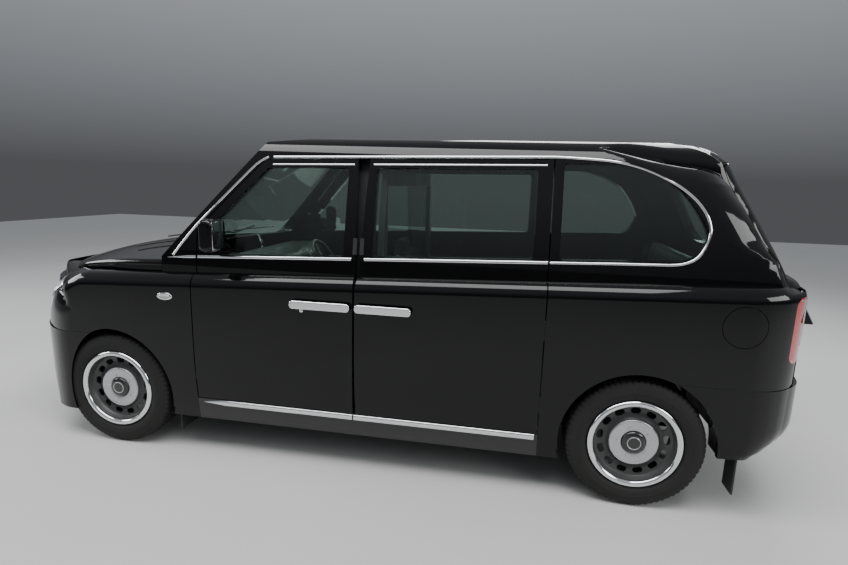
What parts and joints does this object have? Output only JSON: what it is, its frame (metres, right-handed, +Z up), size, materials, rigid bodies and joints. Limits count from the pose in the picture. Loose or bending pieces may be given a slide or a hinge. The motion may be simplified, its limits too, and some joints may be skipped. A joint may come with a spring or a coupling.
{
  "type": "taxi cab",
  "caption": "Tall five-door hackney cab with rear-hinged back doors, steering front wheels, opening doors, bonnet and tailgate, and a hollow glazed cabin.",
  "frame": {"origin": "on the ground, in the middle of the cab's length and width", "axes": "nose towards -Y, the cab's left side towards +X, up is +Z"},
  "size_m": [2.036, 4.8568, 1.8878],
  "materials": {
    "paint": "gloss black paint",
    "dark_trim": "satin black plastic",
    "chrome": "polished",
    "glass": "green tinted",
    "lamp_clear": "clear lens",
    "lamp_red": "red lens",
    "lamp_amber": "amber lens",
    "rim": "silver paint",
    "tyre": "matt rubber",
    "rubber_sheet": "matt rubber",
    "steel": "dark chassis paint",
    "cast": "cast",
    "alloy": "brushed",
    "plastic": "grained",
    "fabric": "woven",
    "leather": "ribbed"
  },
  "bodies": {
    "cab_body": {"battery_pack": "alloy", "bulkhead": "steel", "dashboard": "plastic", "driver_seat": "fabric", "engine_block": "cast", "floor_pan": "steel", "front_bumper": "paint", "front_subframe": "steel", "grille": "chrome", "headlamps": "lamp_clear", "jump_seats": "leather", "mud_flaps": "rubber_sheet", "nose_panel": "paint", "partition": "plastic", "partition_glass": "glass", "pillar_hoop": "dark_trim", "quarter_glass": "glass", "quarter_left": "paint", "quarter_right": "paint", "rear_axle": "steel", "rear_bench": "leather", "rear_bumper": "paint", "roof": "paint", "roof_sign": "lamp_amber", "screen_frame": "paint", "sills": "dark_trim", "tail_lamps": "lamp_red", "windscreen": "glass", "wing_left": "paint", "wing_right": "paint"},
    "front_wheel_left": {"front_rim_left": "rim", "front_tyre_left": "tyre"},
    "front_door_body_left": {"front_door_left": "paint", "front_door_glass_left": "glass", "front_door_handle_left": "chrome", "mirror_left": "dark_trim"},
    "rear_wheel_left": {"rear_rim_left": "rim", "rear_tyre_left": "tyre"},
    "rear_door_body_left": {"rear_door_left": "paint", "rear_door_glass_left": "glass", "rear_door_handle_left": "chrome"},
    "steering_knuckle_left": {"knuckle_left": "steel"},
    "front_wheel_right": {"front_rim_right": "rim", "front_tyre_right": "tyre"},
    "front_door_body_right": {"front_door_right": "paint", "front_door_glass_right": "glass", "front_door_handle_right": "chrome", "mirror_right": "dark_trim"},
    "rear_wheel_right": {"rear_rim_right": "rim", "rear_tyre_right": "tyre"},
    "rear_door_body_right": {"rear_door_right": "paint", "rear_door_glass_right": "glass", "rear_door_handle_right": "chrome"},
    "steering_knuckle_right": {"knuckle_right": "steel"},
    "bonnet_lid": {"bonnet": "paint"},
    "tailgate_lid": {"tailgate": "paint", "tailgate_glass": "glass"},
    "charge_flap_lid": {"charge_flap": "paint"},
    "steering_wheel_body": {"steering_wheel": "plastic"}
  },
  "joints": [
    {"name": "steer_left", "type": "hinge", "parent": "cab_body", "child": "steering_knuckle_left", "pos_m": [0.777, -1.538, 0.345], "axis": [0, 0, 1], "range_deg": [-45, 45]},
    {"name": "front_wheel_spin_left", "type": "hinge", "parent": "steering_knuckle_left", "child": "front_wheel_left", "pos_m": [0.815, -1.538, 0.345], "axis": [1, 0, 0], "continuous": true},
    {"name": "rear_wheel_spin_left", "type": "hinge", "parent": "cab_body", "child": "rear_wheel_left", "pos_m": [0.815, 1.447, 0.345], "axis": [1, 0, 0], "continuous": true},
    {"name": "front_door_hinge_left", "type": "hinge", "parent": "cab_body", "child": "front_door_body_left", "pos_m": [0.94, -0.988, 0.8], "axis": [0, 0, -1], "range_deg": [0, 70]},
    {"name": "rear_door_hinge_left", "type": "hinge", "parent": "cab_body", "child": "rear_door_body_left", "pos_m": [0.94, 0.96, 0.8], "axis": [0, 0, 1], "range_deg": [0, 88]},
    {"name": "steer_right", "type": "hinge", "parent": "cab_body", "child": "steering_knuckle_right", "pos_m": [-0.777, -1.538, 0.345], "axis": [0, 0, 1], "range_deg": [-45, 45]},
    {"name": "front_wheel_spin_right", "type": "hinge", "parent": "steering_knuckle_right", "child": "front_wheel_right", "pos_m": [-0.815, -1.538, 0.345], "axis": [1, 0, 0], "continuous": true},
    {"name": "rear_wheel_spin_right", "type": "hinge", "parent": "cab_body", "child": "rear_wheel_right", "pos_m": [-0.815, 1.447, 0.345], "axis": [1, 0, 0], "continuous": true},
    {"name": "front_door_hinge_right", "type": "hinge", "parent": "cab_body", "child": "front_door_body_right", "pos_m": [-0.94, -0.988, 0.8], "axis": [0, 0, 1], "range_deg": [0, 70]},
    {"name": "rear_door_hinge_right", "type": "hinge", "parent": "cab_body", "child": "rear_door_body_right", "pos_m": [-0.94, 0.96, 0.8], "axis": [0, 0, -1], "range_deg": [0, 88]},
    {"name": "bonnet_hinge", "type": "hinge", "parent": "cab_body", "child": "bonnet_lid", "pos_m": [0, -1.19, 1.165], "axis": [-1, 0, 0], "range_deg": [0, 55]},
    {"name": "tailgate_hinge", "type": "hinge", "parent": "cab_body", "child": "tailgate_lid", "pos_m": [0, 1.885, 1.785], "axis": [1, 0, 0], "range_deg": [0, 78]},
    {"name": "charge_flap_hinge", "type": "hinge", "parent": "cab_body", "child": "charge_flap_lid", "pos_m": [0.9385, 1.768, 1], "axis": [0, 0, -1], "range_deg": [0, 80]},
    {"name": "steering_wheel_turn", "type": "hinge", "parent": "cab_body", "child": "steering_wheel_body", "pos_m": [-0.39, -0.7, 0.985], "axis": [0, 0.8829, 0.4695], "range_deg": [-630, 630]}
  ],
  "couplings": [
    {"joint": "steer_right", "follows": "steer_left", "ratio": 1},
    {"joint": "steering_wheel_turn", "follows": "steer_left", "ratio": 14}
  ]
}
